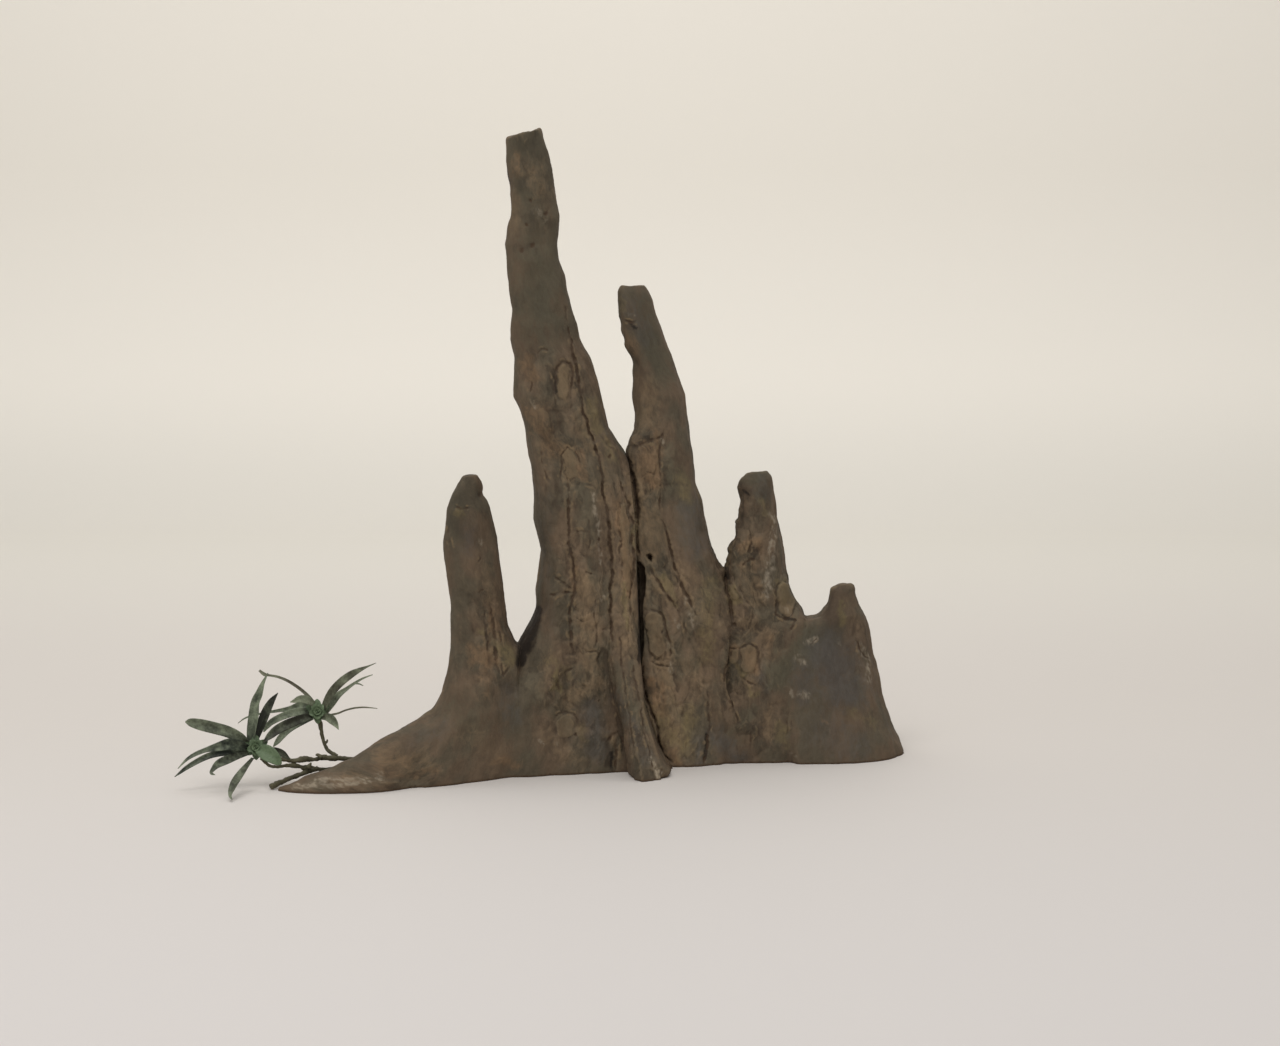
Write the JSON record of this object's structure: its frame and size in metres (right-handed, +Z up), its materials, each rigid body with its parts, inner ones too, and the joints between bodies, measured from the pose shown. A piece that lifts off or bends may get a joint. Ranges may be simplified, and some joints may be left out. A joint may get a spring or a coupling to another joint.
{
  "type": "cypress knee",
  "caption": "Cluster of tapering wooden cypress knees fused in a row on one flat-cut root, with a long toe and a small leafy sprig at its end.",
  "frame": {"origin": "middle of the footprint's box, on the sawn base", "axes": "+Z up, +X along the row of knees from the toe to the outermost knee, the front faces -Y"},
  "size_m": [0.737, 0.2954, 0.65],
  "materials": {
    "weathered_wood": "dull weathered grey-brown wood with bark plates, long cracks and orange-brown patches",
    "stem": "dull dark olive",
    "bud": "dull mid green",
    "leaf": "soft satin grey-green"
  },
  "bodies": {
    "root": {"root_toe": "weathered_wood", "left_spire": "weathered_wood", "tall_spire": "weathered_wood", "second_spire": "weathered_wood", "right_spire": "weathered_wood", "outer_spire": "weathered_wood", "sprig_main_stem": "stem", "sprig_side_stem": "stem", "sprig_lower_stem": "stem", "sprig_cut_twig": "stem", "low_bud": "bud", "high_bud": "bud", "low_leaf_1": "leaf", "low_leaf_2": "leaf", "low_leaf_3": "leaf", "low_leaf_4": "leaf", "low_leaf_5": "leaf", "low_leaf_6": "leaf", "low_leaf_7": "leaf", "low_leaf_8": "leaf", "low_leaf_9": "leaf", "high_leaf_1": "leaf", "high_leaf_2": "leaf", "high_leaf_3": "leaf", "high_leaf_4": "leaf", "high_leaf_5": "leaf", "high_leaf_6": "leaf", "high_leaf_7": "leaf", "high_leaf_8": "leaf", "high_leaf_9": "leaf", "high_leaf_10": "leaf"}
  },
  "joints": []
}
